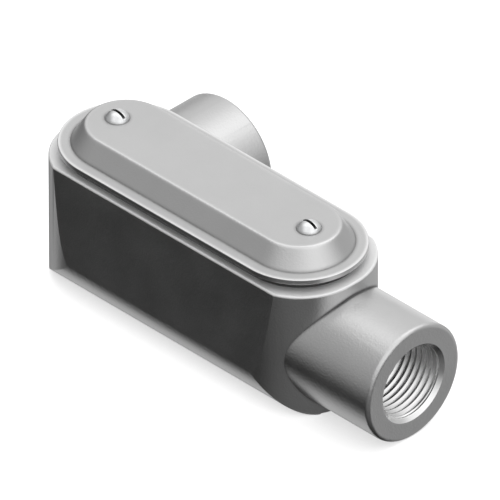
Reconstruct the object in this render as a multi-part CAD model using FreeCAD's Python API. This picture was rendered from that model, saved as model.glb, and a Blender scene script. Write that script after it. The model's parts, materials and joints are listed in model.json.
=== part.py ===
import FreeCAD, Part
import math
import os

from FreeCAD import Placement, Rotation, Vector

# Side-outlet conduit body with two threaded hubs, a domed cover on a gasket and
# two cover screws. All sizes are in millimetres. The origin is on the flat base,
# in the middle of the body. +X points out of the end hub, +Y out of the side
# hub and +Z out of the cover.

# Body casting
BODY_LENGTH = 99.2
BODY_CORNER_RADIUS = 17.5
BODY_END_FLAT = 2.9
RIM_WIDTH = 35.1
RIM_HEIGHT = 36.3
BOTTOM_RADIUS = 9.65
WALL = 3.0
RIM_THICKNESS = 4.0
OPENING_WIDTH = 24.0

# Hubs and their threaded bores
HUB_DIAMETER = 32.5
HUB_EDGE_RADIUS = 1.05
END_HUB_LENGTH = 21.05
SIDE_HUB_LENGTH = 19.65
BORE_DIAMETER = 19.9
MOUTH_CHAMFER = 1.0
THREAD_DEPTH = 15.5
THROAT_DIAMETER = 15.8
THROAT_LIP = 1.5
THROAT_LAND = 1.5
FLARE_RISE = 3.4

# Cover
COVER_END_MARGIN = 1.7
COVER_SIDE_MARGIN = 0.25
FLANGE_THICKNESS = 1.5
FLANGE_LEDGE = 3.25
DOME_HEIGHT = 5.4
DOME_SLOPE_RUN = 3.55
DOME_EDGE_RADIUS = 1.0
COVER_WALL = 2.0

# Gasket
GASKET_THICKNESS = 2.0
GASKET_INSET = 1.7
GASKET_SETBACK = 0.3

# Cover screws and the ears that they go into
SCREW_END_INSET = 15.75
SCREW_DIAMETER = 3.5
SCREW_LENGTH = 15.9
SCREW_TIP_CHAMFER = 0.5
HEAD_DIAMETER = 6.4
HEAD_HEIGHT = 2.05
SLOT_WIDTH = 0.8
SLOT_DEPTH = 1.15
TAPPED_CLEARANCE = 0.05
SCREW_CLEARANCE = 0.2
EAR_WIDTH = 7.8
EAR_DEPTH = 8.5
EAR_SOFFIT_CHAMFER = 1.8

# Worked out from the sizes above
BODY_HALF = BODY_LENGTH / 2
BODY_WIDTH = BODY_END_FLAT + 2 * BODY_CORNER_RADIUS
HUB_RADIUS = HUB_DIAMETER / 2
HUB_AXIS_HEIGHT = HUB_RADIUS
BORE_RADIUS = BORE_DIAMETER / 2
THROAT_RADIUS = THROAT_DIAMETER / 2
SIDE_HUB_X = HUB_RADIUS - BODY_HALF
END_HUB_FACE = BODY_HALF + END_HUB_LENGTH
SIDE_HUB_FACE = BODY_WIDTH / 2 + SIDE_HUB_LENGTH
CAVITY_END = BODY_HALF - WALL
CAVITY_SIDE = BODY_WIDTH / 2 - WALL
CAVITY_TOP = RIM_HEIGHT - RIM_THICKNESS

FLANGE_RADIUS = RIM_WIDTH / 2 - COVER_SIDE_MARGIN
COVER_CENTRE = BODY_HALF - COVER_END_MARGIN - FLANGE_RADIUS
DOME_BASE_RADIUS = FLANGE_RADIUS - FLANGE_LEDGE
DOME_TOP_RADIUS = DOME_BASE_RADIUS - DOME_SLOPE_RUN
GASKET_OUTER_RADIUS = FLANGE_RADIUS - GASKET_INSET
GASKET_INNER_RADIUS = OPENING_WIDTH / 2 + GASKET_SETBACK
FLANGE_BOTTOM = RIM_HEIGHT + GASKET_THICKNESS
FLANGE_TOP = FLANGE_BOTTOM + FLANGE_THICKNESS
COVER_TOP = FLANGE_TOP + DOME_HEIGHT
HOLLOW_TOP = COVER_TOP - COVER_WALL

SCREW_X = BODY_HALF - SCREW_END_INSET
SCREW_RADIUS = SCREW_DIAMETER / 2
TAPPED_RADIUS = SCREW_RADIUS + TAPPED_CLEARANCE
CLEARANCE_RADIUS = SCREW_RADIUS + SCREW_CLEARANCE
HEAD_RADIUS = HEAD_DIAMETER / 2
SCREW_SIDES = (("front_cover_screw", 1), ("rear_cover_screw", -1))

UP = Vector(0, 0, 1)
PAST = 1.0


def line(start, end):
    """A straight edge."""
    return Part.LineSegment(start, end).toShape()


def arc(start, middle, end):
    """An edge on the circle through three points."""
    return Part.Arc(start, middle, end).toShape()


def quarter(centre, start, end):
    """A quarter-circle edge about a centre."""
    middle = (start + end) / 2 - centre
    middle.normalize()
    return arc(start, centre + middle * (start - centre).Length, end)


def prism(wire, height):
    """A solid raised from a flat outline."""
    return Part.Face(wire).extrude(UP * height)


def stadium(centre, radius, z):
    """A slot-shaped outline with its two end arcs centred on +X and -X."""
    right_low = Vector(centre, -radius, z)
    right_high = Vector(centre, radius, z)
    left_low = Vector(-centre, -radius, z)
    left_high = Vector(-centre, radius, z)
    return Part.Wire([
        line(left_low, right_low),
        arc(right_low, Vector(centre + radius, 0, z), right_high),
        line(right_high, left_high),
        arc(left_high, Vector(-centre - radius, 0, z), left_low),
    ])


def rounded_rectangle(half_length, half_width, radius, z):
    """A rectangular outline with quarter-circle corners."""
    edges = []
    corners = ((1, -1), (1, 1), (-1, 1), (-1, -1))
    ends = []
    for sx, sy in corners:
        centre = Vector(sx * (half_length - radius), sy * (half_width - radius), z)
        side = centre + Vector(0, sy * radius, 0)
        end = centre + Vector(sx * radius, 0, 0)
        start, finish = (side, end) if sx * sy < 0 else (end, side)
        edges.append(quarter(centre, start, finish))
        ends.append((start, finish))
    for (_, finish), (start, _) in zip(ends, ends[1:] + ends[:1]):
        edges.append(line(finish, start))
    return Part.Wire(Part.__sortEdges__(edges))


def side_wall_half_width(z):
    """Half the body's width at a height, on its leaning side walls."""
    rise = (z - BOTTOM_RADIUS) / (RIM_HEIGHT - BOTTOM_RADIUS)
    return (BODY_WIDTH + rise * (RIM_WIDTH - BODY_WIDTH)) / 2


def body_block(inset, top):
    """The body's outer form drawn in by an inset, closed at a given height.

    A cross-section with a rounded bottom runs the length of the body, and the
    plan's large corner arcs trim it.
    """
    half_length = BODY_HALF - inset
    half_width = BODY_WIDTH / 2 - inset
    top_half = side_wall_half_width(top) - inset
    radius = BOTTOM_RADIUS - inset
    flat = half_width - radius

    def point(y, z):
        return Vector(-half_length, y, z)

    section = Part.Wire([
        line(point(-flat, inset), point(flat, inset)),
        quarter(point(flat, BOTTOM_RADIUS), point(flat, inset), point(half_width, BOTTOM_RADIUS)),
        line(point(half_width, BOTTOM_RADIUS), point(top_half, top)),
        line(point(top_half, top), point(-top_half, top)),
        line(point(-top_half, top), point(-half_width, BOTTOM_RADIUS)),
        quarter(point(-flat, BOTTOM_RADIUS), point(-half_width, BOTTOM_RADIUS), point(-flat, inset)),
    ])
    trough = Part.Face(section).extrude(Vector(2 * half_length, 0, 0))
    corner = BODY_CORNER_RADIUS - inset
    plan = rounded_rectangle(half_length, half_width, corner, inset - PAST)
    return trough.common(prism(plan, top - inset + 2 * PAST))


def hub_barrel(start, length, direction):
    """A round hub whose free end has a rounded outer edge."""
    barrel = Part.makeCylinder(HUB_RADIUS, length, start, direction)
    rim = [e for e in barrel.Edges
           if e.Curve.TypeId == "Part::GeomCircle" and (e.Curve.Center - start).Length > length / 2]
    return barrel.makeFillet(HUB_EDGE_RADIUS, rim)


def bore_tool(face_centre, inward, wall_depth, reach):
    """What is taken out of a hub, turned about its axis.

    From the mouth inwards it is a chamfer, the threaded length, a shoulder that
    stops the conduit, the bevelled lip of a throat, a flare that ends at the
    cavity's wall, and a straight run to where the cavity has its full width.
    """
    mouth = BORE_RADIUS + MOUTH_CHAMFER
    flare = THROAT_RADIUS + FLARE_RISE
    lip = THROAT_RADIUS + THROAT_LIP
    throat_start = THREAD_DEPTH + THROAT_LIP
    throat_end = throat_start + THROAT_LAND

    def point(depth, radius):
        return Vector(radius, 0, depth)

    edges = [
        line(point(-PAST, 0), point(-PAST, mouth)),
        line(point(-PAST, mouth), point(0, mouth)),
        line(point(0, mouth), point(MOUTH_CHAMFER, BORE_RADIUS)),
        line(point(MOUTH_CHAMFER, BORE_RADIUS), point(THREAD_DEPTH, BORE_RADIUS)),
        line(point(THREAD_DEPTH, BORE_RADIUS), point(THREAD_DEPTH, lip)),
        line(point(THREAD_DEPTH, lip), point(throat_start, THROAT_RADIUS)),
        line(point(throat_start, THROAT_RADIUS), point(throat_end, THROAT_RADIUS)),
        line(point(throat_end, THROAT_RADIUS), point(wall_depth, flare)),
        line(point(wall_depth, flare), point(reach, flare)),
        line(point(reach, flare), point(reach, 0)),
        line(point(reach, 0), point(-PAST, 0)),
    ]
    tool = Part.Face(Part.Wire(edges)).revolve(Vector(0, 0, 0), UP, 360)
    tool.Placement = Placement(face_centre, Rotation(UP, inward))
    return tool


def ear_outline(side, half_width, z):
    """A tongue from the end wall to the screw, with a round nose about it."""
    nose = side * (SCREW_X - half_width)
    root = side * (BODY_HALF - WALL / 2)
    centre = side * SCREW_X
    return Part.Wire([
        line(Vector(root, -half_width, z), Vector(centre, -half_width, z)),
        arc(Vector(centre, -half_width, z), Vector(nose, 0, z), Vector(centre, half_width, z)),
        line(Vector(centre, half_width, z), Vector(root, half_width, z)),
        line(Vector(root, half_width, z), Vector(root, -half_width, z)),
    ])


def body_ear(side):
    """The ear under the rim that a cover screw threads into."""
    bottom = RIM_HEIGHT - EAR_DEPTH
    ear = prism(ear_outline(side, EAR_WIDTH / 2, bottom), EAR_DEPTH)
    nose = [e for e in ear.Edges
            if e.Curve.TypeId == "Part::GeomCircle" and abs(e.Curve.Center.z - bottom) < EAR_DEPTH / 2]
    return ear.makeChamfer(min(EAR_SOFFIT_CHAMFER, EAR_WIDTH / 2 - TAPPED_RADIUS - TAPPED_CLEARANCE), nose)


def screw_hole(side, radius, bottom, top):
    """A round hole on a cover screw's axis."""
    start = Vector(side * SCREW_X, 0, bottom)
    return Part.makeCylinder(radius, top - bottom, start, UP)


def make_housing():
    """The hollow casting with its end hub, side hub, open top and screw ears."""
    end_start = Vector(BODY_HALF - BODY_CORNER_RADIUS, 0, HUB_AXIS_HEIGHT)
    end_face = Vector(END_HUB_FACE, 0, HUB_AXIS_HEIGHT)
    side_start = Vector(SIDE_HUB_X, 0, HUB_AXIS_HEIGHT)
    side_face = Vector(SIDE_HUB_X, SIDE_HUB_FACE, HUB_AXIS_HEIGHT)
    outside = body_block(0, RIM_HEIGHT).fuse([
        hub_barrel(end_start, END_HUB_FACE - end_start.x, Vector(1, 0, 0)),
        hub_barrel(side_start, SIDE_HUB_FACE, Vector(0, 1, 0)),
    ])
    opening = prism(stadium(COVER_CENTRE, OPENING_WIDTH / 2, CAVITY_TOP - PAST), RIM_THICKNESS + 2 * PAST)
    hollow = body_block(WALL, CAVITY_TOP).fuse([
        opening,
        bore_tool(end_face, Vector(-1, 0, 0), END_HUB_FACE - CAVITY_END,
                  END_HUB_FACE - BODY_HALF + BODY_CORNER_RADIUS + WALL),
        bore_tool(side_face, Vector(0, -1, 0), SIDE_HUB_FACE - CAVITY_SIDE,
                  SIDE_HUB_FACE),
    ])
    housing = outside.cut(hollow)
    housing = housing.fuse([body_ear(side) for _, side in SCREW_SIDES])
    bottom = RIM_HEIGHT - EAR_DEPTH - PAST
    holes = [screw_hole(side, TAPPED_RADIUS, bottom, RIM_HEIGHT + PAST) for _, side in SCREW_SIDES]
    return housing.cut(holes)


def make_gasket():
    """The flat gasket: a ring under the cover's flange with a tab at each screw."""
    outer = prism(stadium(COVER_CENTRE, GASKET_OUTER_RADIUS, RIM_HEIGHT), GASKET_THICKNESS)
    inner = prism(stadium(COVER_CENTRE, GASKET_INNER_RADIUS, RIM_HEIGHT - PAST),
                  GASKET_THICKNESS + 2 * PAST)
    ring = outer.cut(inner)
    tabs = []
    for _, side in SCREW_SIDES:
        tab = prism(ear_outline(side, EAR_WIDTH / 2 - GASKET_SETBACK, RIM_HEIGHT), GASKET_THICKNESS)
        tabs.append(tab.common(outer))
    top = FLANGE_BOTTOM + PAST
    holes = [screw_hole(side, CLEARANCE_RADIUS, RIM_HEIGHT - PAST, top) for _, side in SCREW_SIDES]
    return ring.fuse(tabs).cut(holes).removeSplitter()


def dome(inset, top):
    """The cover's raised part drawn in by an inset, with its sloping wall."""
    rise = (top - FLANGE_TOP) / DOME_HEIGHT
    base = stadium(COVER_CENTRE, DOME_BASE_RADIUS - inset, FLANGE_TOP)
    roof = stadium(COVER_CENTRE, DOME_BASE_RADIUS - inset - rise * DOME_SLOPE_RUN, top)
    return Part.makeLoft([base, roof], True, True)


def make_cover():
    """The cover: a flat flange, a raised top with sloping sides, hollow below."""
    raised = dome(0, COVER_TOP)
    rim = [e for e in raised.Edges if min(v.Z for v in e.Vertexes) > COVER_TOP - DOME_EDGE_RADIUS / 2]
    raised = raised.makeFillet(DOME_EDGE_RADIUS, rim)
    flange = prism(stadium(COVER_CENTRE, FLANGE_RADIUS, FLANGE_BOTTOM), FLANGE_THICKNESS)
    outside = flange.fuse(raised)
    mouth = prism(stadium(COVER_CENTRE, DOME_BASE_RADIUS - COVER_WALL, FLANGE_BOTTOM - PAST),
                  FLANGE_THICKNESS + PAST)
    cover = outside.cut([mouth, dome(COVER_WALL, HOLLOW_TOP)])
    pillars = []
    for _, side in SCREW_SIDES:
        pillar = prism(ear_outline(side, EAR_WIDTH / 2, FLANGE_BOTTOM), HOLLOW_TOP - FLANGE_BOTTOM)
        pillars.append(pillar.common(outside))
    cover = cover.fuse(pillars)
    holes = [screw_hole(side, CLEARANCE_RADIUS, FLANGE_BOTTOM - PAST, COVER_TOP + PAST)
             for _, side in SCREW_SIDES]
    return cover.cut(holes).removeSplitter()


def make_screw(side):
    """A slotted round-head screw, seated on the cover, with its slot along X."""
    cap_radius = (HEAD_RADIUS ** 2 + HEAD_HEIGHT ** 2) / (2 * HEAD_HEIGHT)
    half_turn = math.atan2(HEAD_RADIUS, cap_radius - HEAD_HEIGHT) / 2
    cap_centre = HEAD_HEIGHT - cap_radius

    def point(radius, z):
        return Vector(radius, 0, z)

    on_cap = point(cap_radius * math.sin(half_turn), cap_centre + cap_radius * math.cos(half_turn))
    tip = SCREW_RADIUS - SCREW_TIP_CHAMFER
    outline = Part.Wire([
        arc(point(0, HEAD_HEIGHT), on_cap, point(HEAD_RADIUS, 0)),
        line(point(HEAD_RADIUS, 0), point(SCREW_RADIUS, 0)),
        line(point(SCREW_RADIUS, 0), point(SCREW_RADIUS, SCREW_TIP_CHAMFER - SCREW_LENGTH)),
        line(point(SCREW_RADIUS, SCREW_TIP_CHAMFER - SCREW_LENGTH), point(tip, -SCREW_LENGTH)),
        line(point(tip, -SCREW_LENGTH), point(0, -SCREW_LENGTH)),
        line(point(0, -SCREW_LENGTH), point(0, HEAD_HEIGHT)),
    ])
    screw = Part.Face(outline).revolve(Vector(0, 0, 0), UP, 360)
    slot_start = Vector(-HEAD_DIAMETER, -SLOT_WIDTH / 2, HEAD_HEIGHT - SLOT_DEPTH)
    slot = Part.makeBox(2 * HEAD_DIAMETER, SLOT_WIDTH, SLOT_DEPTH + PAST, slot_start)
    screw = screw.cut(slot)
    screw.translate(Vector(side * SCREW_X, 0, COVER_TOP))
    return screw


def main():
    """Builds every piece and writes one file for each."""
    os.makedirs("parts", exist_ok=True)
    pieces = {
        "housing": make_housing(),
        "gasket": make_gasket(),
        "cover": make_cover(),
    }
    for name, side in SCREW_SIDES:
        pieces[name] = make_screw(side)
    for name, shape in pieces.items():
        shape.exportStep(os.path.join("parts", name + ".step"))


main()
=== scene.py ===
import json
import logging
import math
from dataclasses import dataclass, field
from enum import Enum

import bmesh
import bpy
from mathutils import Matrix, Vector
from mathutils.kdtree import KDTree


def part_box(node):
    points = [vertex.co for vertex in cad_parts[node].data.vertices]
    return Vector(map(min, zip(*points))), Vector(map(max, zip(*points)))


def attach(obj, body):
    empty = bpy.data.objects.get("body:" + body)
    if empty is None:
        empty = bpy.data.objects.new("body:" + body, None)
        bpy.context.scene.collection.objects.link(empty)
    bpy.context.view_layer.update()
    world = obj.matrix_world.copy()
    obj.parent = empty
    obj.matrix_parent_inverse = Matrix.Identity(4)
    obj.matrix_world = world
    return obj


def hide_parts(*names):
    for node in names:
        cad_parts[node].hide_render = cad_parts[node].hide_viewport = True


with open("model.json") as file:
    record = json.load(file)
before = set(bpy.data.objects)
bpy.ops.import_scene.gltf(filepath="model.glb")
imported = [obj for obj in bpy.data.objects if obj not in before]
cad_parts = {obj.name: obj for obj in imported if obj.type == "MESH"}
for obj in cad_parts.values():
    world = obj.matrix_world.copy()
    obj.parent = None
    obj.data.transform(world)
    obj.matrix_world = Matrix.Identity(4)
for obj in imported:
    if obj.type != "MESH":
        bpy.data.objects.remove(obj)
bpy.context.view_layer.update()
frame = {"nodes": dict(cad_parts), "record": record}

MM = 0.001
INCH = 25.4 * MM
WHITE = (1.0, 1.0, 1.0, 1.0)
Points = list[bmesh.types.BMVert]
Edges = list[bmesh.types.BMEdge]
log = logging.getLogger("conduit_body")

# Levels and spans that the pieces share, as the CAD nodes have them.
RIM_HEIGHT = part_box("housing")[1].z
SCREW_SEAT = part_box("cover")[1].z
SCREW_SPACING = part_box("front_cover_screw")[1].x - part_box("rear_cover_screw")[1].x

# Points of a CAD node that lie this close are one point.
WELD = 0.002 * MM
# A corner this close to a corner of the CAD node is that corner.
SNAP = 0.004 * MM
# What lies this close to a level or a border still lies on it.
HAIR = 0.01 * MM
SLACK = 0.02 * MM
# Two rims that are stitched together lie no further apart.
GAP = 0.05 * MM

# Faces that turn less than this are one flat face.
FLAT_TURN = math.radians(0.2)
# Facets that turn less than this from the true surface belong to it.
CURVE_TURN = math.radians(15)
# Faces that turn more than this meet at an arris.
ARRIS_TURN = math.radians(30)


# Small tools


def linear(hex_colour: str) -> tuple[float, float, float, float]:
    """Turns an sRGB hex colour into the linear colour that the shaders take.

    Args:
        hex_colour: Six hex digits, such as "A8A9AB".

    Returns:
        Red, green, blue and an alpha of 1.
    """
    channels = [int(hex_colour[i:i + 2], 16) / 255 for i in (0, 2, 4)]
    values = [c / 12.92 if c <= 0.04045 else ((c + 0.055) / 1.055) ** 2.4 for c in channels]
    return values[0], values[1], values[2], 1.0


def add_node(tree: bpy.types.NodeTree, kind: str, settings: dict | None = None,
             inputs: dict | None = None) -> bpy.types.Node:
    """Adds one node with its settings, and sets or links its inputs.

    Args:
        tree: The tree that gets the node.
        kind: The node's type name.
        settings: Properties of the node.
        inputs: Values or sockets by input name or number.

    Returns:
        The new node.
    """
    node = tree.nodes.new(kind)
    for name, value in (settings or {}).items():
        setattr(node, name, value)
    for name, value in (inputs or {}).items():
        if isinstance(value, bpy.types.NodeSocket):
            tree.links.new(value, node.inputs[name])
        else:
            node.inputs[name].default_value = value
    return node


def object_from(name: str, mesh: bpy.types.Mesh) -> bpy.types.Object:
    """Links a new object at the origin that holds a mesh.

    Args:
        name: The object's name.
        mesh: The mesh.

    Returns:
        The object.
    """
    piece = bpy.data.objects.new(name, mesh)
    bpy.context.scene.collection.objects.link(piece)
    return piece


def merged_copy(node: str) -> bmesh.types.BMesh:
    """Copies a CAD node's triangles as one joined shell with whole flat faces.

    Args:
        node: The CAD node's name.

    Returns:
        The working mesh.
    """
    source = frame["nodes"][node].data.copy()
    if "custom_normal" in source.attributes:
        source.attributes.remove(source.attributes["custom_normal"])
    work = bmesh.new()
    work.from_mesh(source)
    bpy.data.meshes.remove(source)
    bmesh.ops.remove_doubles(work, verts=work.verts, dist=WELD)
    bmesh.ops.dissolve_limit(work, angle_limit=FLAT_TURN, verts=work.verts, edges=work.edges)
    for edge in work.edges:
        edge.smooth = True
    for face in work.faces:
        face.smooth = True
        face.material_index = 0
    return work


def follow_surface(mesh: bpy.types.Mesh, node: str) -> None:
    """Shades a mesh by the true curved surface of its CAD node wherever a corner is one of the node's.

    Args:
        mesh: The piece's mesh.
        node: The CAD node that it was made from.
    """
    source = frame["nodes"][node].data
    places = KDTree(len(source.loops))
    for index, corner in enumerate(source.loops):
        places.insert(source.vertices[corner.vertex_index].co, index)
    places.balance()
    true = [normal.vector.copy() for normal in source.corner_normals]
    shading = [normal.vector.copy() for normal in mesh.corner_normals]
    least = math.cos(CURVE_TURN)
    for face in mesh.polygons:
        for index in face.loop_indices:
            point = mesh.vertices[mesh.loops[index].vertex_index].co
            near = [true[found] for _, found, _ in places.find_range(point, SNAP)]
            best = max(near, key=face.normal.dot, default=None)
            if best is not None and best.dot(face.normal) > least:
                shading[index] = best
    mesh.normals_split_custom_set(shading)


def finished_piece(work: bmesh.types.BMesh, name: str, materials: list[bpy.types.Material],
                   node: str | None = None, crease: float = 28.0) -> bpy.types.Object:
    """Turns a working mesh into a piece that rides on the body.

    Args:
        work: The working mesh, which is freed.
        name: The piece's name.
        materials: Its finishes, in the order of its faces' numbers.
        node: The CAD node whose surface its shading follows, if any.
        crease: Angle in degrees past which an edge stays crisp.

    Returns:
        The piece.
    """
    for edge in work.edges:
        edge.smooth = edge.smooth and edge.calc_face_angle(0.0) < math.radians(crease)
    rough = bpy.data.meshes.new(name)
    work.to_mesh(rough)
    work.free()
    for material in materials:
        rough.materials.append(material)
    piece = object_from(name, rough)
    # The large flat faces set the shading, so that the small roundings meet them without a streak.
    weighted = piece.modifiers.new("weighted", "WEIGHTED_NORMAL")
    weighted.keep_sharp = True
    bpy.context.view_layer.update()
    graph = bpy.context.evaluated_depsgraph_get()
    mesh = bpy.data.meshes.new_from_object(piece.evaluated_get(graph))
    piece.modifiers.remove(weighted)
    piece.data = mesh
    bpy.data.meshes.remove(rough)
    mesh.name = name
    if node:
        follow_surface(mesh, node)
    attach(piece, "root")
    return piece


def evaluated(tree: bpy.types.NodeTree, values: dict, name: str) -> bpy.types.Mesh:
    """Runs a node tree once and keeps its result as a plain mesh.

    Args:
        tree: The geometry tree.
        values: Input values by name.
        name: The mesh's name.

    Returns:
        The plain mesh.
    """
    carrier = object_from(name, bpy.data.meshes.new(name + "_seed"))
    modifier = carrier.modifiers.new(name, "NODES")
    modifier.node_group = tree
    for item in tree.interface.items_tree:
        if item.item_type == "SOCKET" and item.in_out == "INPUT" and item.name in values:
            modifier[item.identifier] = values[item.name]
    bpy.context.view_layer.update()
    graph = bpy.context.evaluated_depsgraph_get()
    mesh = bpy.data.meshes.new_from_object(carrier.evaluated_get(graph))
    mesh.name = name
    bpy.data.objects.remove(carrier)
    return mesh


def round_edges(work: bmesh.types.BMesh, edges: Edges, radius: float, segments: int = 3) -> None:
    """Rounds chosen edges, as a casting, a moulding or a filed slot is at its arrises.

    Args:
        work: The working mesh.
        edges: The edges to round.
        radius: Radius of the rounding, in metres.
        segments: Facets across the rounding.
    """
    made = bmesh.ops.bevel(work, geom=edges, offset=radius, offset_type="OFFSET", segments=segments,
                           profile=0.5, affect="EDGES", clamp_overlap=False)
    for face in made["faces"]:
        face.smooth = True


def level_edges(work: bmesh.types.BMesh, height: float, centre: float, least: float) -> Edges:
    """Finds the outer edges that lie level at a height.

    Args:
        work: The working mesh.
        height: Their height, in metres.
        centre: Where the outline's end arcs are centred on the X axis.
        least: How far the edges lie at least from the line between the centres.

    Returns:
        The edges.
    """
    found = []
    for edge in work.edges:
        if any(abs(v.co.z - height) > SLACK for v in edge.verts):
            continue
        if edge.calc_face_angle(0.0) < ARRIS_TURN:
            continue
        reach = [Vector((max(abs(v.co.x) - centre, 0.0), v.co.y)).length for v in edge.verts]
        if min(reach) > least:
            found.append(edge)
    return found


def open_points(work: bmesh.types.BMesh, known: set[bmesh.types.BMVert]) -> Points:
    """Finds the points on open borders, apart from those that are known."""
    return [v for v in work.verts if v not in known and any(e.is_boundary for e in v.link_edges)]


def grown_border(work: bmesh.types.BMesh, ring: Points) -> Points:
    """Extrudes the open border that runs through a ring of points.

    Args:
        work: The working mesh.
        ring: The points of the border.

    Returns:
        The border's new points, which still lie on the old ones.
    """
    held = set(ring)
    border = [e for e in work.edges if e.is_boundary and held.issuperset(e.verts)]
    grown = bmesh.ops.extrude_edge_only(work, edges=border)["geom"]
    return [g for g in grown if isinstance(g, bmesh.types.BMVert)]


@dataclass(frozen=True)
class Axis:
    """The straight axis of a bore or a shank.

    Attributes:
        mouth: A point on it, in a bore the middle of its outer end at the chamfer's foot.
        way: Its direction, in a bore outwards.
    """

    mouth: Vector
    way: Vector

    def depth(self, point: Vector) -> float:
        """How deep a point lies behind the mouth."""
        return (self.mouth - point).dot(self.way)

    def spoke(self, point: Vector) -> Vector:
        """The way from the axis straight out to a point."""
        return point - self.mouth + self.way * self.depth(point)

    def angle(self, point: Vector) -> float:
        """Measures the angle about the axis at which a point lies.

        Args:
            point: The point.

        Returns:
            The angle in radians, from -pi to pi.
        """
        across = self.way.orthogonal().normalized()
        spoke = self.spoke(point)
        return math.atan2(spoke.dot(self.way.cross(across)), spoke.dot(across))


def stitch(work: bmesh.types.BMesh, first: Points, second: Points, axis: Axis) -> None:
    """Closes the space between two round borders with triangles.

    Args:
        work: The working mesh.
        first: Points of one border.
        second: Points of the other border.
        axis: The axis that both lie about.
    """
    rings = [sorted(ring, key=lambda v: axis.angle(v.co)) for ring in (first, second)]
    angles = [[axis.angle(v.co) for v in ring] for ring in rings]
    for turns in angles:
        turns.append(turns[0] + math.tau)
    at = [0, 0]
    while at[0] < len(first) or at[1] < len(second):
        follow = [angles[k][at[k] + 1] if at[k] < len(rings[k]) else math.inf for k in (0, 1)]
        step = 0 if follow[0] <= follow[1] else 1
        here = [rings[k][at[k] % len(rings[k])] for k in (0, 1)]
        at[step] += 1
        work.faces.new((here[0], here[1], rings[step][at[step] % len(rings[step])]))


# Finishes

# Width of the broad, faint patches that casting, moulding or handling leaves.
PATCH_WIDTH = 14 * MM
# The noise's values at which the patches are darkest and lightest, and at which the roughness ends.
PATCH_ENDS = (0.35, 0.65)
ROUGH_ENDS = (0.3, 0.7)
# The share of open sky at an arris or in a corner, and the share at which the arris's polish and painted
# highlight, and the corner's painted shade, have ended.
RUB_AND_SHADE_ENDS = (0.7, 0.95)
# How unevenly the polish and painted highlight on the arrises and the painted shade in the corners lie:
# their least share.
LEAST_RUB_AND_SHADE = 0.75
# How much rougher a surface gets where the painted corner shade lies.
CORNER_DULLING = 0.3
# How gradually the arrises' polish and painted highlight fade out as a surface turns downwards, as a share
# of its normal's Z.
FACING_SPAN = 0.3


class Grain(Enum):
    """How a surface was made, which sets what its fine relief looks like."""

    BLASTED = "blasted"
    MOULDED = "moulded"
    CUT = "cut"
    TURNED = "turned"


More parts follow.
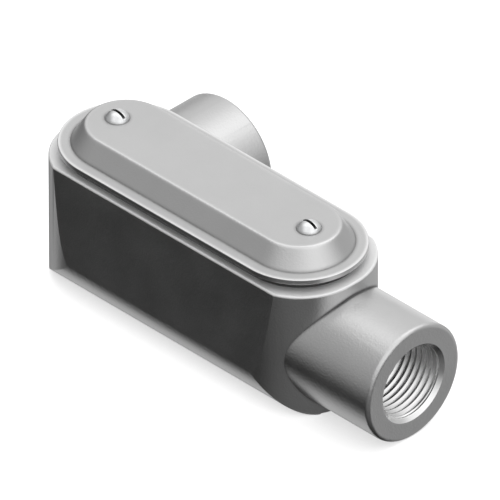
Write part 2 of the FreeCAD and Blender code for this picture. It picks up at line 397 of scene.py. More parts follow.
@dataclass(frozen=True)
class Finish:
    """One surface finish, as the values that its shader starts from.

    Attributes:
        name: The material's name, in plain words.
        colour: The sRGB hex colour of the bare surface.
        shade: The sRGB hex colour of its darker patches.
        rub_and_highlight_colour: The sRGB hex colour of the arrises, which handling has polished and which
            carry a painted highlight.
        corner_shade_colour: The sRGB hex colour of the painted shade in its corners and crevices.
        metallic: 1 for bare metal.
        roughness: The middle of the roughness.
        roughness_spread: How far the roughness wanders either way.
        grain: How the surface was made.
        grain_size: Width of one grain, in metres.
        grain_depth: Height of the grain's relief, in metres.
        edge_radius: Width of the softened arris, in metres.
        rub_and_highlight: How strongly the arrises are brightened by polish and a painted highlight, from
            0 to 1.
        rub_and_highlight_reach: How far in from an arris that goes, in metres.
        rub_and_highlight_facing: How far up a surface must face to get the polish and painted highlight:
            -1 for all of it, 1 for level tops.
        corner_shade_strength: How strongly the corners are darkened with painted shade, from 0 to 1.
        corner_shade_reach: How far out of a corner that goes, in metres.
    """

    name: str
    colour: str
    shade: str
    rub_and_highlight_colour: str
    corner_shade_colour: str
    metallic: float
    roughness: float
    roughness_spread: float
    grain: Grain
    grain_size: float
    grain_depth: float
    edge_radius: float
    rub_and_highlight: float
    rub_and_highlight_reach: float
    rub_and_highlight_facing: float
    corner_shade_strength: float
    corner_shade_reach: float

    def material(self) -> bpy.types.Material:
        """Builds the procedural material of this finish.

        Returns:
            The material.
        """
        made = bpy.data.materials.new(self.name)
        made.use_nodes = True
        tree = made.node_tree
        tree.nodes.clear()
        coordinates = add_node(tree, "ShaderNodeTexCoord").outputs
        place = coordinates["Object"]
        patches = add_node(tree, "ShaderNodeTexNoise", inputs={
            "Vector": place, "Scale": 1 / PATCH_WIDTH, "Detail": 3.0, "Roughness": 0.55}).outputs["Fac"]
        tone = add_node(tree, "ShaderNodeMapRange", inputs={
            "Value": patches, "From Min": PATCH_ENDS[0], "From Max": PATCH_ENDS[1]}).outputs["Result"]
        # Arrises found by ambient occlusion get polish together with a painted highlight.
        arris = self.near_edge(tree, patches, True, self.rub_and_highlight_reach, self.rub_and_highlight)
        # Only arrises on surfaces that face far enough up get it, so the upper arrises carry the painted
        # highlight.
        upward = add_node(tree, "ShaderNodeSeparateXYZ", inputs={
            "Vector": coordinates["Normal"]}).outputs["Z"]
        faces_up_enough = add_node(tree, "ShaderNodeMapRange", inputs={
            "Value": upward, "From Min": self.rub_and_highlight_facing - FACING_SPAN,
            "From Max": self.rub_and_highlight_facing}).outputs["Result"]
        arris = add_node(tree, "ShaderNodeMath", {"operation": "MULTIPLY"}, {
            0: arris, 1: faces_up_enough}).outputs[0]
        # Corners and crevices found by ambient occlusion, also between parts, get painted shade.
        corner = self.near_edge(tree, patches, False, self.corner_shade_reach, self.corner_shade_strength)
        skin = add_node(tree, "ShaderNodeMix", {"data_type": "RGBA"}, {
            0: tone, 6: linear(self.shade), 7: linear(self.colour)}).outputs[2]
        # The arrises are lightened: polish together with a painted highlight.
        rubbed_and_highlit = add_node(tree, "ShaderNodeMix", {"data_type": "RGBA"}, {
            0: arris, 6: skin, 7: linear(self.rub_and_highlight_colour)}).outputs[2]
        # The corners are darkened: painted shade.
        colour = add_node(tree, "ShaderNodeMix", {"data_type": "RGBA"}, {
            0: corner, 6: rubbed_and_highlit, 7: linear(self.corner_shade_colour)}).outputs[2]
        rough = add_node(tree, "ShaderNodeMapRange", inputs={
            "Value": patches, "From Min": ROUGH_ENDS[0], "From Max": ROUGH_ENDS[1],
            "To Min": self.roughness - self.roughness_spread,
            "To Max": self.roughness + self.roughness_spread}).outputs["Result"]
        duller = add_node(tree, "ShaderNodeMath", {"operation": "MULTIPLY_ADD"}, {
            0: corner, 1: CORNER_DULLING, 2: rough}).outputs[0]
        edge = add_node(tree, "ShaderNodeBevel", {"samples": 4}, {"Radius": self.edge_radius})
        bump = add_node(tree, "ShaderNodeBump", inputs={
            "Height": self.relief(tree, place), "Distance": self.grain_depth, "Strength": 1.0,
            "Normal": edge.outputs["Normal"]})
        shader = add_node(tree, "ShaderNodeBsdfPrincipled", inputs={
            "Base Color": colour, "Metallic": self.metallic,
            "Roughness": duller, "Normal": bump.outputs["Normal"]})
        add_node(tree, "ShaderNodeOutputMaterial", inputs={"Surface": shader.outputs["BSDF"]})
        return made

    def near_edge(self, tree: bpy.types.NodeTree, patches: bpy.types.NodeSocket, outward: bool,
                  reach: float, most: float) -> bpy.types.NodeSocket:
        """Adds the nodes that find the arrises, for polish and a painted highlight, or the corners and
        crevices, for painted shade.

        Args:
            tree: The material's tree.
            patches: The broad noise, which makes the polish, the painted highlight and the painted shade
                uneven.
            outward: True for arrises, False for corners.
            reach: How far it goes, in metres.
            most: Its strength at the edge itself.

        Returns:
            The socket that gives the strength.
        """
        closeness = add_node(tree, "ShaderNodeAmbientOcclusion", {
            "samples": 8, "inside": outward, "only_local": outward}, {"Distance": reach})
        amount = add_node(tree, "ShaderNodeMapRange", inputs={
            "Value": closeness.outputs["AO"], "From Min": RUB_AND_SHADE_ENDS[0], "From Max": RUB_AND_SHADE_ENDS[1],
            "To Min": most, "To Max": 0.0})
        uneven = add_node(tree, "ShaderNodeMapRange", inputs={
            "Value": patches, "From Min": PATCH_ENDS[0], "From Max": PATCH_ENDS[1],
            "To Min": LEAST_RUB_AND_SHADE, "To Max": 1.0})
        return add_node(tree, "ShaderNodeMath", {"operation": "MULTIPLY"}, {
            0: amount.outputs["Result"], 1: uneven.outputs["Result"]}).outputs[0]

    def relief(self, tree: bpy.types.NodeTree, place: bpy.types.NodeSocket) -> bpy.types.NodeSocket:
        """Adds the nodes of the fine relief.

        Args:
            tree: The material's tree.
            place: The object coordinates.

        Returns:
            The socket that gives the relief's height, as a share of the grain's depth.
        """
        if self.grain is Grain.TURNED:
            # Fine rings left by the tool, about the upright axis of each screw.
            across = add_node(tree, "ShaderNodeSeparateXYZ", inputs={"Vector": place})
            side = add_node(tree, "ShaderNodeMath", {"operation": "ABSOLUTE"}, {0: across.outputs["X"]})
            out = add_node(tree, "ShaderNodeMath", {"operation": "SUBTRACT"}, {
                0: side.outputs[0], 1: SCREW_SPACING / 2})
            centred = add_node(tree, "ShaderNodeCombineXYZ", inputs={
                "X": out.outputs[0], "Y": across.outputs["Y"]})
            radius = add_node(tree, "ShaderNodeVectorMath", {"operation": "LENGTH"}, {
                0: centred.outputs[0]})
            turn = add_node(tree, "ShaderNodeMath", {"operation": "MULTIPLY"}, {
                0: radius.outputs["Value"], 1: math.tau / self.grain_size})
            ring = add_node(tree, "ShaderNodeMath", {"operation": "SINE"}, {0: turn.outputs[0]})
            return ring.outputs[0]
        # The first number draws the grain out along X, the second adds finer detail. A cut surface has
        # long marks, a moulded one a smooth swell, and a blasted one small pits on larger ones.
        forms = {Grain.CUT: (0.12, 1.0), Grain.MOULDED: (1.0, 0.0), Grain.BLASTED: (1.0, 2.0)}
        stretch, detail = forms[self.grain]
        laid = add_node(tree, "ShaderNodeMapping", inputs={"Vector": place, "Scale": (stretch, 1.0, 1.0)})
        noise = add_node(tree, "ShaderNodeTexNoise", inputs={
            "Vector": laid.outputs[0], "Scale": 1 / self.grain_size, "Detail": detail, "Roughness": 0.6})
        return noise.outputs["Fac"]


# Sand-blasted cast aluminium: a bright but soft grey, whose fine even grain spreads each highlight.
# Its arrises are rubbed bright and carry a painted highlight, and its corners are darkened with painted
# shade. The real grain is about 0.1 mm wide and is drawn at 0.55 mm, the least that shows.
BLASTED_CASTING = Finish(
    name="blasted_cast_aluminium", colour="CFCFCF", shade="CBCBCB", rub_and_highlight_colour="F2F2F2", corner_shade_colour="3E3E3E",
    metallic=1.0, roughness=0.3, roughness_spread=0.015,
    grain=Grain.BLASTED, grain_size=0.55 * MM, grain_depth=0.055 * MM, edge_radius=0.25 * MM,
    rub_and_highlight=0.8, rub_and_highlight_reach=0.7 * MM, rub_and_highlight_facing=-1.0, corner_shade_strength=0.85, corner_shade_reach=1.0 * MM)
# Die-cast aluminium of the cover: a little smoother and lighter than the blasted skin, and polished
# by hands and given a painted highlight along the dome's upper arrises alone, with painted shade in its
# corners. Its grain is drawn coarse in the same way.
BLASTED_COVER = Finish(
    name="blasted_die_cast_aluminium", colour="CFCFCF", shade="CCCCCC", rub_and_highlight_colour="FCFCFC", corner_shade_colour="3E3E3E",
    metallic=1.0, roughness=0.3, roughness_spread=0.01,
    grain=Grain.BLASTED, grain_size=0.5 * MM, grain_depth=0.045 * MM, edge_radius=0.15 * MM,
    rub_and_highlight=1.0, rub_and_highlight_reach=1.2 * MM, rub_and_highlight_facing=0.4, corner_shade_strength=0.95, corner_shade_reach=1.1 * MM)
# Tapped aluminium of the threads: brighter and smoother than the cast skin, with a painted highlight on
# its crests and painted shade in its roots. The tap's chatter is really finer, and is drawn at 0.3 mm.
TAPPED_ALUMINIUM = Finish(
    name="tapped_aluminium", colour="F0F0F0", shade="EBEBEB", rub_and_highlight_colour="FFFFFF", corner_shade_colour="7A7A7A",
    metallic=1.0, roughness=0.24, roughness_spread=0.02,
    grain=Grain.CUT, grain_size=0.3 * MM, grain_depth=0.006 * MM, edge_radius=0.08 * MM,
    rub_and_highlight=0.9, rub_and_highlight_reach=0.5 * MM, rub_and_highlight_facing=-1.0, corner_shade_strength=0.2, corner_shade_reach=0.6 * MM)
# Ground aluminium of the rim that the gasket lies on: pale and dull, because the fine scratches
# scatter the light. They are drawn at 0.5 mm, far wider than they are. Its arris carries a painted
# highlight and its corners faint painted shade.
GROUND_ALUMINIUM = Finish(
    name="ground_aluminium", colour="F8F8F8", shade="F2F2F2", rub_and_highlight_colour="FFFFFF", corner_shade_colour="B0B0B0",
    metallic=1.0, roughness=0.75, roughness_spread=0.03,
    grain=Grain.CUT, grain_size=0.5 * MM, grain_depth=0.02 * MM, edge_radius=0.1 * MM,
    rub_and_highlight=1.0, rub_and_highlight_reach=0.7 * MM, rub_and_highlight_facing=-1.0, corner_shade_strength=0.2, corner_shade_reach=0.4 * MM)
# Moulded neoprene of the gasket: dark grey and matt, with the faint swell that its mould leaves, a painted
# highlight on its arrises and painted shade in its corners.
NEOPRENE = Finish(
    name="moulded_neoprene", colour="3A3A3A", shade="343434", rub_and_highlight_colour="484848", corner_shade_colour="202020",
    metallic=0.0, roughness=0.6, roughness_spread=0.05,
    grain=Grain.MOULDED, grain_size=0.6 * MM, grain_depth=0.02 * MM, edge_radius=0.2 * MM,
    rub_and_highlight=0.5, rub_and_highlight_reach=0.4 * MM, rub_and_highlight_facing=-1.0, corner_shade_strength=0.3, corner_shade_reach=0.5 * MM)
# Zinc-plated turned steel of the screws: bright, with the tool's rings, a painted highlight on its arrises
# and painted shade that makes the slot dark. The rings are really some 0.1 mm apart and are drawn at 0.25
# mm.
PLATED_STEEL = Finish(
    name="plated_turned_steel", colour="EEEFF0", shade="E6E7E8", rub_and_highlight_colour="FAFAFA", corner_shade_colour="1C1C1C",
    metallic=1.0, roughness=0.22, roughness_spread=0.02,
    grain=Grain.TURNED, grain_size=0.25 * MM, grain_depth=0.004 * MM, edge_radius=0.1 * MM,
    rub_and_highlight=0.6, rub_and_highlight_reach=0.3 * MM, rub_and_highlight_facing=-1.0, corner_shade_strength=0.95, corner_shade_reach=1.0 * MM)


# Camera


@dataclass
class PhotoCamera:
    """The drawing's viewpoint: a true isometric view, with a very long lens.

    Attributes:
        lens: Focal length in millimetres.
        sensor: Sensor width in millimetres.
        view_width: Width of the picture at the object, in metres.
        right: Where the picture's middle lies, along the picture's width.
        up: Where it lies along the picture's height.
        toward: How far the plane of that width lies from the origin.
    """

    lens: float = 1500.0
    sensor: float = 36.0
    view_width: float = 125.0 * MM
    right: float = 9.31 * MM
    up: float = 17.59 * MM
    toward: float = 14.0 * MM

    def place(self) -> bpy.types.Object:
        """Creates the camera and makes it the scene's own.

        Returns:
            The camera.
        """
        back = Vector((1, -1, 1)).normalized()
        right = Vector((1, 1, 0)).normalized()
        up = back.cross(right)
        target = right * self.right + up * self.up + back * self.toward
        data = bpy.data.cameras.new("photo_camera")
        data.lens = self.lens
        data.sensor_width = self.sensor
        data.clip_start = 0.1
        data.clip_end = 20.0
        camera = bpy.data.objects.new("photo_camera", data)
        distance = self.view_width * self.lens / self.sensor
        turn = Matrix((right, up, back)).transposed().to_4x4()
        camera.matrix_world = Matrix.Translation(target + back * distance) @ turn
        bpy.context.scene.collection.objects.link(camera)
        bpy.context.scene.camera = camera
        return camera


# Studio


@dataclass(frozen=True)
class SoftSource:
    """One broad soft light of the studio, as seen from the object.

    Attributes:
        toward: Direction in which it lies.
        edge: Cosine of the angle at which it has faded out.
        level: Brightness in its middle.
    """

    toward: tuple[float, float, float]
    edge: float
    level: float


@dataclass
class Studio:
    """A plain pale floor in a soft, white-walled studio.

    Attributes:
        backdrop: Brightness of the far walls as the camera sees them.
        floor_size: Width of the floor, in metres.
        floor_colour: The sRGB hex colour of the floor.
        floor_glow: Brightness that the floor has of its own, which softens the shadow on it.
        sources: The broad soft lights.
    """

    backdrop: float = 1.0
    floor_size: float = 12.0
    floor_colour: str = "F4F4F4"
    floor_glow: float = 0.52
    # Worked out so that each way that a surface can face has about the tone that the drawing gives it.
    sources: tuple[SoftSource, ...] = (
        SoftSource((-0.32, 0.64, 0.70), 0.49, 0.90),
        SoftSource((0.55, -0.13, 0.82), 0.11, 0.90),
        SoftSource((-0.60, -0.58, 0.55), 0.42, 0.46),
        SoftSource((0.82, 0.40, 0.41), 0.34, 0.26),
        SoftSource((0.72, -0.70, -0.02), 0.01, 0.15),
        SoftSource((-0.83, 0.47, -0.29), 0.57, 0.24),
        SoftSource((-0.62, 0.75, -0.25), 0.93, 0.73),
        SoftSource((0.16, 0.88, -0.44), 0.60, 0.53),
        SoftSource((-0.57, -0.01, -0.82), 0.86, 0.53),
        SoftSource((-0.58, -0.12, 0.80), 0.93, 0.3),
    )

    def build(self) -> None:
        """Makes the world's light and the floor."""
        world = bpy.data.worlds.new("soft_studio")
        bpy.context.scene.world = world
        world.use_nodes = True
        tree = world.node_tree
        tree.nodes.clear()
        place = add_node(tree, "ShaderNodeTexCoord").outputs["Generated"]
        total: bpy.types.NodeSocket | float = 0.0
        for source in self.sources:
            toward = Vector(source.toward).normalized()
            facing = add_node(tree, "ShaderNodeVectorMath", {"operation": "DOT_PRODUCT"}, {
                0: place, 1: toward})
            glow = add_node(tree, "ShaderNodeMapRange", {"interpolation_type": "SMOOTHSTEP"}, {
                "Value": facing.outputs["Value"], "From Min": source.edge, "From Max": 1.0,
                "To Min": 0.0, "To Max": source.level})
            total = add_node(tree, "ShaderNodeMath", {"operation": "ADD"}, {
                0: glow.outputs["Result"], 1: total}).outputs[0]
        light = add_node(tree, "ShaderNodeBackground", inputs={
            "Color": WHITE, "Strength": total})
        wall = add_node(tree, "ShaderNodeBackground", inputs={
            "Color": WHITE, "Strength": self.backdrop})
        seen = add_node(tree, "ShaderNodeLightPath").outputs["Is Camera Ray"]
        mix = add_node(tree, "ShaderNodeMixShader", inputs={
            0: seen, 1: light.outputs[0], 2: wall.outputs[0]})
        add_node(tree, "ShaderNodeOutputWorld", inputs={"Surface": mix.outputs[0]})
        self.floor()
        bpy.context.scene.view_settings.view_transform = "Standard"

    def floor(self) -> bpy.types.Object:
        """Lays the floor, which only the camera sees, so that no light comes off it onto the sides.

        Returns:
            The floor, which isn't part of the object.
        """
        half = self.floor_size / 2
        mesh = bpy.data.meshes.new("floor")
        mesh.from_pydata([(-half, -half, 0), (half, -half, 0), (half, half, 0), (-half, half, 0)],
                         [], [(0, 1, 2, 3)])
        floor = object_from("floor", mesh)
        material = bpy.data.materials.new("pale_floor")
        material.use_nodes = True
        tree = material.node_tree
        tree.nodes.clear()
        paint = add_node(tree, "ShaderNodeBsdfPrincipled", inputs={
            "Base Color": linear(self.floor_colour), "Roughness": 0.9, "Specular IOR Level": 0.0,
            "Emission Color": WHITE, "Emission Strength": self.floor_glow})
        add_node(tree, "ShaderNodeOutputMaterial", inputs={"Surface": paint.outputs["BSDF"]})
        mesh.materials.append(material)
        floor.visible_diffuse = False
        floor.visible_glossy = False
        floor.visible_shadow = False
        return floor


# Threads

# How the ribbon's width is shared out: the crest takes the first share, each flank the second.
CREST_SHARE = 0.125
FLANK_SHARE = 0.375

# The arithmetic that winds the ribbon, one step a line: the result's name, the operation, and what
# it takes. "u" and "v" run from -0.5 to 0.5 along and across the flat grid that it starts from.
THREAD_STEPS = (
    ("bare turns", "DIVIDE", "Length", "Pitch"),
    ("turns", "ADD", "bare turns", 1.0),
    ("whole turns", "CEIL", "turns"),
    ("facets", "MULTIPLY", "whole turns", "Facets per Turn"),
    ("columns", "ADD", "facets", 1.0),
    ("share along", "ADD", "u", 0.5),
    ("along", "MULTIPLY", "share along", "whole turns"),
    ("across", "ADD", "v", 0.5),
    ("risen", "ADD", "along", "across"),
    ("lowered", "SUBTRACT", "risen", 1.0),
    ("height", "MULTIPLY", "lowered", "Pitch"),
    ("over mouth", "MAXIMUM", "height", 0.0),
    ("level", "MINIMUM", "over mouth", "Length"),
    ("past crest", "SUBTRACT", "across", CREST_SHARE),
    ("falling", "DIVIDE", "past crest", FLANK_SHARE),
    ("before end", "SUBTRACT", 1.0, "across"),
    ("rising", "DIVIDE", "before end", FLANK_SHARE),
    ("flanks", "MINIMUM", "falling", "rising"),
    ("flat root", "MINIMUM", "flanks", 1.0),
    ("form", "MAXIMUM", "flat root", 0.0),
    ("start", "DIVIDE", "level", "Run Out"),
    ("left", "SUBTRACT", "Length", "level"),
    ("end", "DIVIDE", "left", "Run Out"),
    ("ends", "MINIMUM", "start", "end"),
    ("fade", "MINIMUM", "ends", 1.0),
    ("faded form", "MULTIPLY", "form", "fade"),
    ("rise", "MULTIPLY", "faded form", "Thread Depth"),
    ("radius", "ADD", "Inner Radius", "rise"),
    ("angle", "MULTIPLY", "along", math.tau),
    ("cosine", "COSINE", "angle"),
    ("sine", "SINE", "angle"),
    ("x", "MULTIPLY", "radius", "cosine"),
    ("y", "MULTIPLY", "radius", "sine"),
)


@dataclass
class ScrewThread:
    """A thread, made as a ribbon that is wound about an axis. The sizes given are the hubs' own.

    Attributes:
        pitch: Distance from crest to crest, 14 to the inch.
        inner: Radius of the faces next to the axis: the crests in a hub, the roots on a screw.
        depth: Height of the thread, outwards from there.
        length: Length of the threaded bore or shank.
        run_out: Length over which the thread fades at both ends.
        per_turn: Number of facets round one turn.
        across: Number of facets across one thread.
    """

    pitch: float = INCH / 14
    inner: float = 9.95 * MM
    depth: float = 0.8 * MM
    length: float = 14.5 * MM
    run_out: float = 0.9 * MM
    per_turn: int = 72
    across: int = 8

    def tree(self) -> bpy.types.NodeTree:
        """Builds the node tree that winds the ribbon.

        Returns:
            The tree.
        """
        tree = bpy.data.node_groups.new("screw_thread", "GeometryNodeTree")
        sockets = tree.interface
        sockets.new_socket("Geometry", in_out="OUTPUT", socket_type="NodeSocketGeometry")
        for name in ("Pitch", "Inner Radius", "Thread Depth", "Length", "Run Out", "Facets per Turn"):
            sockets.new_socket(name, in_out="INPUT", socket_type="NodeSocketFloat")
        sockets.new_socket("Material", in_out="INPUT", socket_type="NodeSocketMaterial")
        given = add_node(tree, "NodeGroupInput").outputs
        place = add_node(tree, "ShaderNodeSeparateXYZ", inputs={
            "Vector": add_node(tree, "GeometryNodeInputPosition").outputs[0]}).outputs
        known = {socket.name: socket for socket in given} | {"u": place["X"], "v": place["Y"]}
        for result, operation, *taken in THREAD_STEPS:
            values = [known[value] if isinstance(value, str) else value for value in taken]
            known[result] = add_node(tree, "ShaderNodeMath", {"operation": operation},
                                     dict(enumerate(values))).outputs[0]
        grid = add_node(tree, "GeometryNodeMeshGrid", inputs={
            "Size X": 1.0, "Size Y": 1.0, "Vertices X": known["columns"], "Vertices Y": self.across + 1})
        spot = add_node(tree, "ShaderNodeCombineXYZ", inputs={
            "X": known["x"], "Y": known["y"], "Z": known["level"]})
        wound = add_node(tree, "GeometryNodeSetPosition", inputs={
            "Geometry": grid.outputs["Mesh"], "Position": spot.outputs[0]})
        joined = add_node(tree, "GeometryNodeMergeByDistance", inputs={
            "Geometry": wound.outputs[0], "Distance": SNAP})
        real = add_node(tree, "GeometryNodeRealizeInstances", inputs={"Geometry": joined.outputs[0]})
        dressed = add_node(tree, "GeometryNodeSetMaterial", inputs={
            "Geometry": real.outputs[0], "Material": given["Material"]})
        add_node(tree, "NodeGroupOutput", inputs={"Geometry": dressed.outputs[0]})
        return tree

    def mesh(self, material: bpy.types.Material) -> bpy.types.Mesh:
        """Winds the thread about +Z, from z = 0 up to its length.

        Args:
            material: The thread's finish.

        Returns:
            A plain mesh, open at both ends.
        """
        values = {"Pitch": self.pitch, "Inner Radius": self.inner, "Thread Depth": self.depth,
                  "Length": self.length, "Run Out": self.run_out,
                  "Facets per Turn": float(self.per_turn), "Material": material}
        return evaluated(self.tree(), values, "screw_thread")


# Housing

# Numbers of the housing's finishes, as its faces hold them.
CAST, TAPPED, GROUND = range(3)
# A wall leans no further than this, as its normal's Z.
WALL_LEAN = 0.3
# A flat facet of a bore lies at least this share of the radius from the axis.
FACET_SAG = 0.98
# A face that looks at the axis has at most this along the way out.
LOOKS_IN = -0.3


@dataclass
class Housing:
    """The cast housing with a tapped thread in both hubs.

    Attributes:
        node: The CAD node that it stands for.
        mouth_chamfer: Width and depth of the bore's chamfer.
        rim_radius: Radius of the rim's outer arris.
        foot_radius: Radius of the arris round the base's ends.
        hub_foot: Half width of the strip where the end hub's barrel meets the base.
        end_centre: Where the end arcs are centred, along X.
        outside: A reach that lies between the opening and the outline.
        wall_area: The least area of a side wall, in square metres.
        wall_turn: The least turn at a wall's border that stays crisp, in radians.
        thread: The thread in each hub.
    """

    node: str = "housing"
    mouth_chamfer: float = 1.0 * MM
    rim_radius: float = 0.6 * MM
    foot_radius: float = 0.5 * MM
    hub_foot: float = 2.8 * MM
    end_centre: float = 32.1 * MM
    outside: float = 15.5 * MM
    wall_area: float = 800 * MM * MM
    wall_turn: float = math.radians(2)
    thread: ScrewThread = field(default_factory=ScrewThread)

    def build(self, cast: bpy.types.Material, tapped: bpy.types.Material,
              ground: bpy.types.Material) -> bpy.types.Object:
        """Copies the casting, cuts its plain bores out and sets the threads in.

        Args:
            cast: The casting's finish.
            tapped: The finish of the threads.
            ground: The finish of the rim.

        Returns:
            The finished piece.
        """
        work = merged_copy(self.node)
        round_edges(work, level_edges(work, RIM_HEIGHT, self.end_centre, self.outside), self.rim_radius)
        foot = [edge for edge in level_edges(work, 0.0, self.end_centre, 0.0)
                if all(v.co.x < 0 or abs(v.co.y) > self.hub_foot for v in edge.verts)]
        round_edges(work, foot, self.foot_radius)
        self.border_walls(work)
        thread = self.thread.mesh(tapped)
        bores = [Axis(Vector(mount["pos_m"]), Vector(mount["axis"])) for mount in frame["record"]["mounts"]
                 if mount["kind"] == "threaded_hole"]
        for bore in bores:
            self.tap(work, thread, bore)
        for face in work.faces:
            face.smooth = True
            face.material_index = self.finish_of(face, bores)
        piece = finished_piece(work, "tapped_housing", [cast, tapped, ground], self.node)
        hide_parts(self.node)
        return piece

    def border_walls(self, work: bmesh.types.BMesh) -> None:
        """Keeps the borders of the flat side walls crisp, where the rounded corners meet them at an angle.

        Args:
            work: The casting.
        """
        for face in work.faces:
            if face.calc_area() < self.wall_area or abs(face.normal.z) > WALL_LEAN:
                continue
            for edge in face.edges:
                if edge.calc_face_angle(0.0) > self.wall_turn:
                    edge.smooth = False

    def tap(self, work: bmesh.types.BMesh, wound: bpy.types.Mesh, bore: Axis) -> None:
        """Puts the thread and its chamfer in the place of one plain bore.

        Args:
            work: The casting.
            wound: The thread's mesh, about +Z.
            bore: The bore's axis.
        """
        thread = self.thread
        widest = thread.inner + self.mouth_chamfer
        plain = []
        for face in work.faces:
            middle = face.calc_center_median()
            spoke = bore.spoke(middle)
            in_reach = -self.mouth_chamfer + HAIR < bore.depth(middle) < thread.length - HAIR
            on_wall = thread.inner * FACET_SAG < spoke.length <= widest
            if in_reach and on_wall and face.normal.dot(spoke.normalized()) < LOOKS_IN:
                plain.append(face)
        bmesh.ops.delete(work, geom=plain, context="FACES")
        known = set(work.verts)
        copy = wound.copy()
        turn = Vector((0, 0, -1)).rotation_difference(bore.way).to_matrix().to_4x4()
        copy.transform(Matrix.Translation(bore.mouth) @ turn)
        work.from_mesh(copy)
        bpy.data.meshes.remove(copy)
        fresh = open_points(work, known)
        foot = [v for v in fresh if bore.depth(v.co) > thread.length / 2]
        lip = grown_border(work, [v for v in fresh if bore.depth(v.co) < thread.length / 2])
        for vert in lip:
            vert.co += (bore.spoke(vert.co).normalized() + bore.way) * self.mouth_chamfer
        for ring, level in ((lip, -self.mouth_chamfer), (foot, thread.length)):
            hole = [v for v in open_points(work, set(ring)) if abs(bore.depth(v.co) - level) < GAP
                    and bore.spoke(v.co).length < widest + self.mouth_chamfer / 2]
            stitch(work, ring, hole, bore)
        bmesh.ops.recalc_face_normals(work, faces=work.faces)

    def finish_of(self, face: bmesh.types.BMFace, bores: list[Axis]) -> int:
        """Tells which finish a face has.

        Args:
            face: The face.
            bores: The axes of both bores.

        Returns:
            The finish's number: ground for the rim, tapped for a bore, or else cast.
        """
        if all(v.co.z > RIM_HEIGHT - self.rim_radius - HAIR for v in face.verts):
            return GROUND
        widest = self.thread.inner + max(self.mouth_chamfer, self.thread.depth) + SLACK
        for bore in bores:
            if all(-self.mouth_chamfer - SLACK < bore.depth(v.co) < self.thread.length + GAP
                   and bore.spoke(v.co).length < widest for v in face.verts):
                return TAPPED
        return CAST


# Cover, gasket and screws

# A face that looks down has at most this along Z.
LOOKS_DOWN = -0.9


@dataclass
class Cover:
    """The domed cover, with its flange's arrises softly rounded.

    Attributes:
        node: The CAD node that it stands for.
        flange_thickness: Thickness of the flange.
        flange_radius: Radius of the flange's arrises.
        end_centre: Where the end arcs are centred, along X.
        outside: A reach that lies between the dome and the flange's edge.
    """

    node: str = "cover"
    flange_thickness: float = 1.5 * MM
    flange_radius: float = 0.25 * MM
    end_centre: float = 30.6 * MM
    outside: float = 16.5 * MM

    def build(self, material: bpy.types.Material) -> bpy.types.Object:
        """Makes the cover.

        Args:
            material: The cover's finish.

        Returns:
            The finished piece.
        """
        work = merged_copy(self.node)
        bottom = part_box(self.node)[0].z
        for height in (bottom + self.flange_thickness, bottom):
            edges = level_edges(work, height, self.end_centre, self.outside)
            round_edges(work, edges, self.flange_radius)
        piece = finished_piece(work, "domed_cover", [material], self.node)
        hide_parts(self.node)
        return piece


@dataclass
class Gasket:
    """The flat gasket between the housing's rim and the cover.

    Attributes:
        node: The CAD node that it stands for.
        corner: Radius of its moulded arrises.
        end_centre: Where the end arcs are centred, along X.
        outside: A reach inside its outer edge.
    """

    node: str = "gasket"
    corner: float = 0.3 * MM
    end_centre: float = 30.6 * MM
    outside: float = 15.0 * MM

    def build(self, material: bpy.types.Material) -> bpy.types.Object:
        """Makes the gasket.

        Args:
            material: The gasket's finish.

        Returns:
            The finished piece.
        """
        work = merged_copy(self.node)
        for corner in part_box(self.node):
            round_edges(work, level_edges(work, corner.z, self.end_centre, self.outside), self.corner)
        piece = finished_piece(work, "flat_gasket", [material], self.node)
        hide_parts(self.node)
        return piece


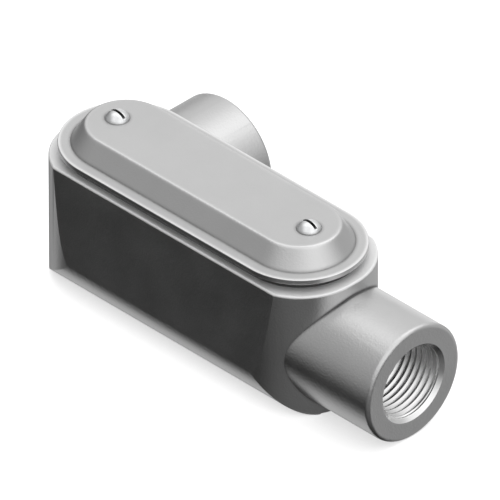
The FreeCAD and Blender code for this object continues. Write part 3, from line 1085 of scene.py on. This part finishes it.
@dataclass
class CoverScrews:
    """The two slotted round-head screws: one screw, set at both ends of the cover.

    Attributes:
        node: The CAD node of one screw, whose head is right.
        pair: Both CAD nodes that the piece stands for.
        plain: Length of plain shank under the head.
        slot_half: A little more than half the slot's width.
        slot_floor: A height over the seat that is below the slot's floor.
        slot_turn: The least turn at the slot's edges, in radians.
        slot_corner: Radius of the slot's edges.
        tip_length: Length of the tapered tip.
        tip_taper: The tip's end width as a share of the shank's.
        thread: The screw's thread, 32 to the inch.
    """

    node: str = "front_cover_screw"
    pair: tuple[str, ...] = ("front_cover_screw", "rear_cover_screw")
    plain: float = 1.6 * MM
    slot_half: float = 0.45 * MM
    slot_floor: float = 0.3 * MM
    slot_turn: float = math.radians(50)
    slot_corner: float = 0.08 * MM
    tip_length: float = 0.5 * MM
    tip_taper: float = 0.72
    thread: ScrewThread = field(default_factory=lambda: ScrewThread(
        pitch=INCH / 32, inner=1.42 * MM, depth=0.33 * MM, length=13.8 * MM, run_out=0.5 * MM,
        per_turn=28))

    def one(self, material: bpy.types.Material) -> bpy.types.Mesh:
        """Makes one screw on the Z axis, with its head's seat at the origin.

        Args:
            material: The screw's finish.

        Returns:
            The screw's mesh.
        """
        work = merged_copy(self.node)
        for vert in work.verts:
            vert.co -= Vector((SCREW_SPACING / 2, 0, SCREW_SEAT))
        shank = [f for f in work.faces if f.calc_center_median().z < -self.plain / 2
                 or f.calc_center_median().z < -HAIR and f.normal.z > LOOKS_DOWN]
        bmesh.ops.delete(work, geom=shank, context="FACES")
        slot = [e for e in work.edges if not e.is_boundary and e.calc_face_angle(0.0) > self.slot_turn
                and all(v.co.z > self.slot_floor and abs(v.co.y) < self.slot_half for v in e.verts)]
        round_edges(work, slot, self.slot_corner, 2)
        neck = grown_border(work, open_points(work, set()))
        for vert in neck:
            vert.co.z -= self.plain
        thread = self.thread.mesh(material)
        thread.transform(Matrix.Translation((0, 0, -self.plain - self.thread.length)))
        known = set(work.verts)
        work.from_mesh(thread)
        bpy.data.meshes.remove(thread)
        rims = open_points(work, known)
        middle = -self.plain - self.thread.length / 2
        stitch(work, [v for v in rims if v.co.z > middle], neck, Axis(Vector(), Vector((0, 0, 1))))
        end = grown_border(work, [v for v in rims if v.co.z < middle])
        for vert in end:
            vert.co *= Vector((self.tip_taper, self.tip_taper, 1))
            vert.co.z -= self.tip_length
        bmesh.ops.contextual_create(work, geom=end)
        bmesh.ops.recalc_face_normals(work, faces=work.faces)
        for face in work.faces:
            face.smooth = True
            face.material_index = 0
        mesh = bpy.data.meshes.new("slotted_screw")
        work.to_mesh(mesh)
        work.free()
        return mesh

    def tree(self, screw: bpy.types.Object) -> bpy.types.NodeTree:
        """Builds the node tree that sets the screw at both ends of the cover.

        Args:
            screw: An object that holds one screw.

        Returns:
            The tree.
        """
        tree = bpy.data.node_groups.new("screw_pair", "GeometryNodeTree")
        sockets = tree.interface
        sockets.new_socket("Geometry", in_out="OUTPUT", socket_type="NodeSocketGeometry")
        for name in ("Spacing", "Seat Height"):
            sockets.new_socket(name, in_out="INPUT", socket_type="NodeSocketFloat")
        sockets.new_socket("Material", in_out="INPUT", socket_type="NodeSocketMaterial")
        given = add_node(tree, "NodeGroupInput").outputs
        half = add_node(tree, "ShaderNodeMath", {"operation": "MULTIPLY"}, {
            0: given["Spacing"], 1: 0.5}).outputs[0]
        other = add_node(tree, "ShaderNodeMath", {"operation": "MULTIPLY"}, {0: half, 1: -1.0}).outputs[0]
        start = add_node(tree, "ShaderNodeCombineXYZ", inputs={"X": other, "Z": given["Seat Height"]})
        end = add_node(tree, "ShaderNodeCombineXYZ", inputs={"X": half, "Z": given["Seat Height"]})
        seats = add_node(tree, "GeometryNodeMeshLine", {"mode": "END_POINTS"}, {
            "Count": 2, "Start Location": start.outputs[0], "Offset": end.outputs[0]})
        shape = add_node(tree, "GeometryNodeObjectInfo", inputs={"Object": screw})
        pair = add_node(tree, "GeometryNodeInstanceOnPoints", inputs={
            "Points": seats.outputs[0], "Instance": shape.outputs["Geometry"]})
        real = add_node(tree, "GeometryNodeRealizeInstances", inputs={"Geometry": pair.outputs[0]})
        dressed = add_node(tree, "GeometryNodeSetMaterial", inputs={
            "Geometry": real.outputs[0], "Material": given["Material"]})
        add_node(tree, "NodeGroupOutput", inputs={"Geometry": dressed.outputs[0]})
        return tree

    def build(self, material: bpy.types.Material) -> bpy.types.Object:
        """Makes the pair.

        Args:
            material: The screws' finish.

        Returns:
            The finished piece.
        """
        pattern = object_from("one_screw", self.one(material))
        values = {"Spacing": SCREW_SPACING, "Seat Height": SCREW_SEAT, "Material": material}
        mesh = evaluated(self.tree(pattern), values, "cover_screws")
        bpy.data.objects.remove(pattern)
        work = bmesh.new()
        work.from_mesh(mesh)
        bpy.data.meshes.remove(mesh)
        piece = finished_piece(work, "cover_screws", [material], crease=35.0)
        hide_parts(*self.pair)
        return piece


def main() -> None:
    """Builds the pieces in order."""
    logging.basicConfig(level=logging.INFO, format="%(name)s: %(message)s")
    PhotoCamera().place()
    Studio().build()
    log.info("camera and studio placed")
    housing = Housing().build(BLASTED_CASTING.material(), TAPPED_ALUMINIUM.material(),
                              GROUND_ALUMINIUM.material())
    log.info("%s: %d faces", housing.name, len(housing.data.polygons))
    cover = Cover().build(BLASTED_COVER.material())
    log.info("%s: %d faces", cover.name, len(cover.data.polygons))
    gasket = Gasket().build(NEOPRENE.material())
    log.info("%s: %d faces", gasket.name, len(gasket.data.polygons))
    screws = CoverScrews().build(PLATED_STEEL.material())
    log.info("%s: %d faces", screws.name, len(screws.data.polygons))


if __name__ == "__main__":
    main()
